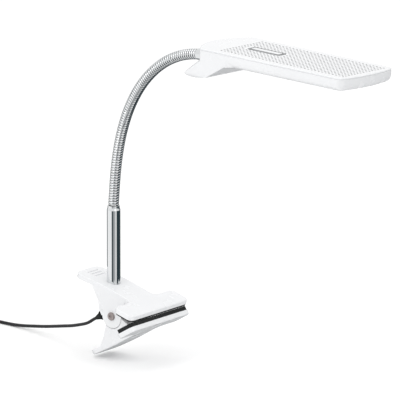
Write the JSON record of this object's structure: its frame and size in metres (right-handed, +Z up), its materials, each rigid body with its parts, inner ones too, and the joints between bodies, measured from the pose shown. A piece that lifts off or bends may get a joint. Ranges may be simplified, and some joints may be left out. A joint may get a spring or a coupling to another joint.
{
  "type": "clip-on desk lamp",
  "caption": "Clip-on LED desk lamp: a spring clamp with rubber-lined jaws, a chrome stem and gooseneck, and a flat white head with a perforated top, a push switch and a low-voltage lead.",
  "frame": {"origin": "middle of the front edge of the jaws' meeting faces, where the clamp grips", "axes": "+X from the clamp towards the head and the front of the jaws, +Y across the jaws along the clamp's hinge, +Z up along the stem"},
  "size_m": [0.5653, 0.1538, 0.3544],
  "materials": {
    "white_gloss": "glossy moulded white plastic",
    "black_rubber": "matt black soft rubber",
    "lead_black": "satin black sheath",
    "chrome": "bright chrome plate",
    "steel": "zinc-plated steel",
    "pin_metal": "dull plated steel, slightly warm",
    "brass": "plain turned brass",
    "grey_plastic": "satin light grey plastic",
    "bezel_grey": "satin mid grey plastic",
    "diffuser": "opal plastic",
    "board_white": "white solder mask",
    "led": "phosphor under clear resin",
    "alu": "plain sheet",
    "board_green": "green solder mask",
    "dark_plastic": "moulded dark plastic",
    "white_matte": "moulded insulator"
  },
  "bodies": {
    "base": {"upper_jaw": "white_gloss", "upper_jaw_pad": "black_rubber", "pivot_pin": "pin_metal", "pivot_clip": "steel", "torsion_spring": "steel", "stem_tube": "chrome", "stem_nipple": "brass", "stem_washer": "steel", "stem_nut": "brass", "neck_sleeve_1": "chrome", "clamp_lead": "lead_black", "strain_relief": "black_rubber", "cord": "lead_black", "cord_coil": "lead_black", "cord_tail": "lead_black", "plug_relief": "lead_black", "plug_grip": "lead_black", "plug_shell": "steel", "plug_tongue": "white_matte"},
    "lower_lever": {"lower_jaw": "white_gloss", "lower_jaw_pad": "black_rubber"},
    "neck_1": {"neck_sleeve_2": "chrome"},
    "neck_2": {"neck_sleeve_3": "chrome"},
    "neck_3": {"neck_sleeve_4": "chrome"},
    "neck_4": {"neck_sleeve_5": "chrome"},
    "neck_5": {"neck_sleeve_6": "chrome"},
    "neck_6": {"neck_sleeve_7": "chrome"},
    "neck_7": {"neck_sleeve_8": "chrome"},
    "neck_8": {"neck_sleeve_9": "chrome"},
    "head": {"neck_sleeve_10": "chrome", "neck_ferrule": "chrome", "ferrule_nut": "steel", "head_shell": "white_gloss", "top_cover": "white_gloss", "fin_liner": "grey_plastic", "diffuser": "diffuser", "led_board": "board_white", "leds": "led", "heat_plate": "alu", "board_screws": "steel", "driver_board": "board_green", "driver_parts": "dark_plastic", "switch_body": "dark_plastic", "switch_frame": "bezel_grey", "cover_screws": "steel", "head_lead": "lead_black"},
    "switch": {"switch_button": "white_gloss"}
  },
  "joints": [
    {"name": "clamp_open", "type": "hinge", "parent": "base", "child": "lower_lever", "pos_m": [-0.04737, 0, -0.00649], "axis": [0, 1, 0], "range_deg": [0, 28], "stiffness_Nm_per_rad": 1.6, "springref_deg": -34.38, "deforming": ["torsion_spring"]},
    {"name": "neck_lower_bend", "type": "hinge", "parent": "base", "child": "neck_1", "pos_m": [-0.05809, 0, 0.12669], "axis": [0, 1, 0], "range_deg": [-14, 14]},
    {"name": "neck_lower_bend_2", "type": "hinge", "parent": "neck_1", "child": "neck_2", "pos_m": [-0.05547, 0, 0.14928], "axis": [0, 1, 0], "range_deg": [-14, 14]},
    {"name": "neck_side_bend", "type": "hinge", "parent": "neck_2", "child": "neck_3", "pos_m": [-0.05121, 0, 0.17162], "axis": [0.9732, 0, -0.2299], "range_deg": [-14, 14]},
    {"name": "neck_lower_bend_3", "type": "hinge", "parent": "neck_3", "child": "neck_4", "pos_m": [-0.04475, 0, 0.19343], "axis": [0, 1, 0], "range_deg": [-14, 14]},
    {"name": "neck_side_bend_2", "type": "hinge", "parent": "neck_4", "child": "neck_5", "pos_m": [-0.03567, 0, 0.21426], "axis": [0.8876, 0, -0.4607], "range_deg": [-14, 14]},
    {"name": "neck_upper_bend", "type": "hinge", "parent": "neck_5", "child": "neck_6", "pos_m": [-0.02364, 0, 0.23355], "axis": [0, 1, 0], "range_deg": [-14, 14]},
    {"name": "neck_side_bend_3", "type": "hinge", "parent": "neck_6", "child": "neck_7", "pos_m": [-0.00858, 0, 0.25056], "axis": [0.6868, 0, -0.7269], "range_deg": [-14, 14]},
    {"name": "neck_upper_bend_2", "type": "hinge", "parent": "neck_7", "child": "neck_8", "pos_m": [0.00939, 0, 0.26445], "axis": [0, 1, 0], "range_deg": [-14, 14]},
    {"name": "neck_upper_bend_3", "type": "hinge", "parent": "neck_8", "child": "head", "pos_m": [0.02983, 0, 0.27433], "axis": [0, 1, 0], "range_deg": [-14, 14]},
    {"name": "switch_press", "type": "slide", "parent": "head", "child": "switch", "axis": [0, -0.0628, -0.998], "range_m": [0, 0.0012], "stiffness_N_per_m": 300, "springref_m": -0.002}
  ],
  "couplings": [
    {"joint": "neck_lower_bend_2", "follows": "neck_lower_bend", "ratio": 1},
    {"joint": "neck_lower_bend_3", "follows": "neck_lower_bend", "ratio": 1},
    {"joint": "neck_side_bend_2", "follows": "neck_side_bend", "ratio": 1},
    {"joint": "neck_side_bend_3", "follows": "neck_side_bend", "ratio": 1},
    {"joint": "neck_upper_bend_2", "follows": "neck_upper_bend", "ratio": 1},
    {"joint": "neck_upper_bend_3", "follows": "neck_upper_bend", "ratio": 1}
  ]
}
